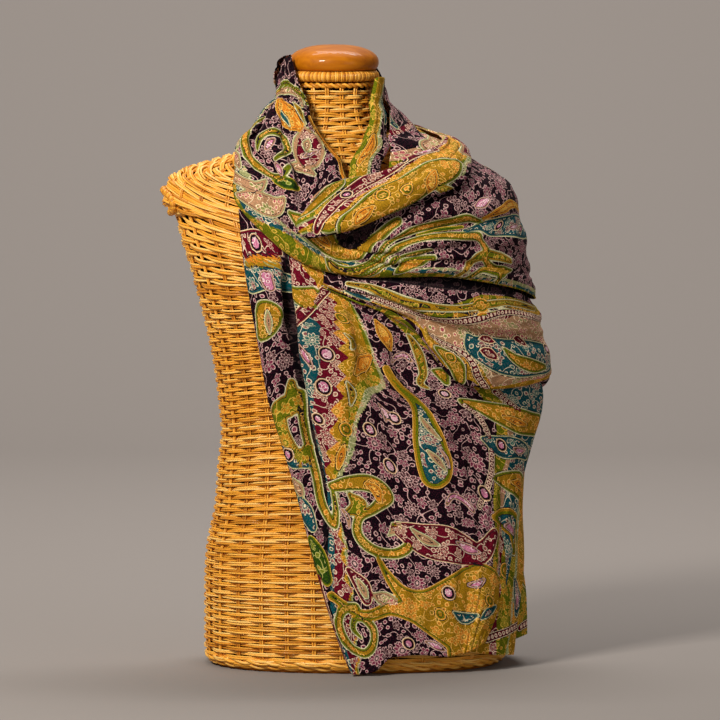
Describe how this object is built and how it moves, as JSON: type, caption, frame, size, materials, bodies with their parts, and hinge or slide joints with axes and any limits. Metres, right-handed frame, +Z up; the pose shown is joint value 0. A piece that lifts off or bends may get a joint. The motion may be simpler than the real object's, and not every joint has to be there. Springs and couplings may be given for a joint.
{
  "type": "pashmina shawl on a wicker dress form",
  "caption": "Paisley pashmina shawl wound round the neck and over one shoulder of a limbless wicker dress form, with its end hanging down the front.",
  "frame": {"origin": "middle of the dress form's flat underside", "axes": "+Z up along the form, -Y the way that the form faces, +X towards the shoulder that the shawl covers"},
  "size_m": [0.4444, 0.2901, 0.705],
  "materials": {
    "pashmina": "fine soft twill, matt with a slight sheen",
    "wicker": "woven cane, lightly varnished",
    "cane": "split cane binding, lightly varnished",
    "varnished_wood": "turned and gloss varnished"
  },
  "bodies": {
    "root": {"torso": "wicker", "neck_ring": "cane", "neck_cap": "varnished_wood", "front_end": "pashmina", "front_end_second_layer": "pashmina", "side_end": "pashmina", "left_neck_fall": "pashmina", "right_neck_roll": "pashmina", "neck_wrap": "pashmina", "chest_swag": "pashmina", "shoulder_drape": "pashmina", "back_fall": "pashmina", "belly_drape": "pashmina"}
  },
  "joints": []
}
